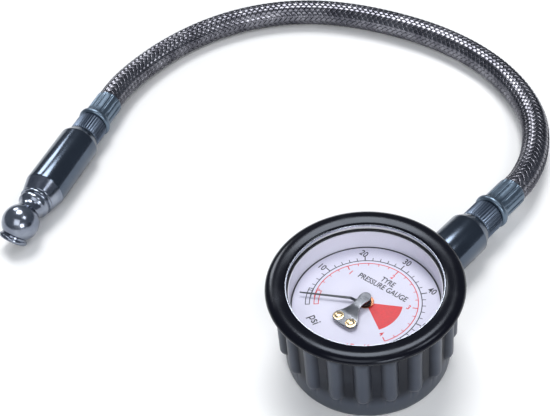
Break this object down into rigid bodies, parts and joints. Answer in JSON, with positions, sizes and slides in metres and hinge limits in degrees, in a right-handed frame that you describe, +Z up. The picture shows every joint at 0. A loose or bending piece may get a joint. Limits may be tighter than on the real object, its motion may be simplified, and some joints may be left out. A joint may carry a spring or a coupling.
{
  "type": "tyre pressure gauge",
  "caption": "Dial tyre pressure gauge in a ribbed rubber boot, with a braided hose and an angled ball-foot chuck that swivels.",
  "frame": {"origin": "centre of the boot's underside, on the surface that the gauge lies on", "axes": "+Z up through the dial, +Y along the stem, which is the dial's 12 o'clock, +X to the dial's 3 o'clock"},
  "size_m": [0.2033, 0.1971, 0.0353],
  "materials": {
    "boot_rubber": "satin moulded rubber",
    "case_steel": "plain steel",
    "bezel_chrome": "polished",
    "lens_clear": "clear polished",
    "seal_rubber": "matte",
    "white_plastic": "white",
    "dial_enamel": "white print ground",
    "bridge_steel": "blued steel",
    "brass": "turned",
    "pointer_black": "black",
    "hub_copper": "copper plated",
    "tube_bronze": "drawn",
    "plain_steel": "zinc plated",
    "fitting_chrome": "polished",
    "knurl_steel": "bright plated",
    "ferrule_steel": "satin plated",
    "hose_rubber": "matte",
    "braid_steel": "woven stainless wire"
  },
  "bodies": {
    "gauge": {"rubber_boot": "boot_rubber", "gauge_case": "case_steel", "bezel_ring": "bezel_chrome", "lens": "lens_clear", "lens_gasket": "seal_rubber", "dial_spacer": "white_plastic", "dial_plate": "dial_enamel", "bridge": "bridge_steel", "bridge_pillars": "brass", "bridge_screws": "brass", "hairspring": "tube_bronze", "hairspring_stud": "brass", "sector_stud": "plain_steel", "sector_clip": "plain_steel", "bourdon_tube": "tube_bronze", "socket_block": "brass", "movement_plate": "brass", "movement_screws": "plain_steel", "case_screws": "plain_steel", "stem_washer": "hose_rubber", "gauge_body": "fitting_chrome", "gauge_hose_end": "knurl_steel", "gauge_ferrule": "ferrule_steel", "hose_tube": "hose_rubber", "hose_braid": "braid_steel", "chuck_ferrule": "ferrule_steel", "chuck_hose_end": "knurl_steel", "chuck_body": "fitting_chrome", "swivel_ring": "plain_steel"},
    "pointer_set": {"pointer": "pointer_black", "pointer_hub": "hub_copper", "pinion_arbor": "brass"},
    "sector": {"sector_gear": "brass"},
    "tip": {"tube_tip": "brass", "link_clips": "plain_steel"},
    "link_arm": {"link": "plain_steel"},
    "chuck_head": {"ball_head": "fitting_chrome", "swivel_seal": "seal_rubber", "valve_seal": "seal_rubber", "depressor_pin": "brass"}
  },
  "joints": [
    {"name": "sector_turn", "type": "hinge", "parent": "gauge", "child": "sector", "pos_m": [-0.0108, 0, 0.0181], "axis": [0, 0, 1], "range_deg": [0, 30], "stiffness_Nm_per_rad": 0.002},
    {"name": "pointer_spin", "type": "hinge", "parent": "gauge", "child": "pointer_set", "pos_m": [0, 0, 0.0181], "axis": [0, 0, 1], "range_deg": [-240, 0], "deforming": ["hairspring"]},
    {"name": "tip_travel", "type": "hinge", "parent": "gauge", "child": "tip", "pos_m": [0.0069, -0.0057, 0.01], "axis": [0, 0, 1], "range_deg": [0, 6.6], "deforming": ["bourdon_tube"]},
    {"name": "link_swing", "type": "hinge", "parent": "tip", "child": "link_arm", "pos_m": [-0.0162, -0.008, 0.0191], "axis": [0, 0, 1], "range_deg": [-3.5, 0]},
    {"name": "chuck_swivel", "type": "hinge", "parent": "gauge", "child": "chuck_head", "pos_m": [-0.13813, -0.02799, 0.00875], "axis": [0.355, -0.9347, 0.0192], "continuous": true}
  ],
  "couplings": [
    {"joint": "pointer_spin", "follows": "sector_turn", "ratio": -8},
    {"joint": "tip_travel", "follows": "sector_turn", "ratio": 0.2172},
    {"joint": "link_swing", "follows": "sector_turn", "ratio": -0.1142}
  ]
}
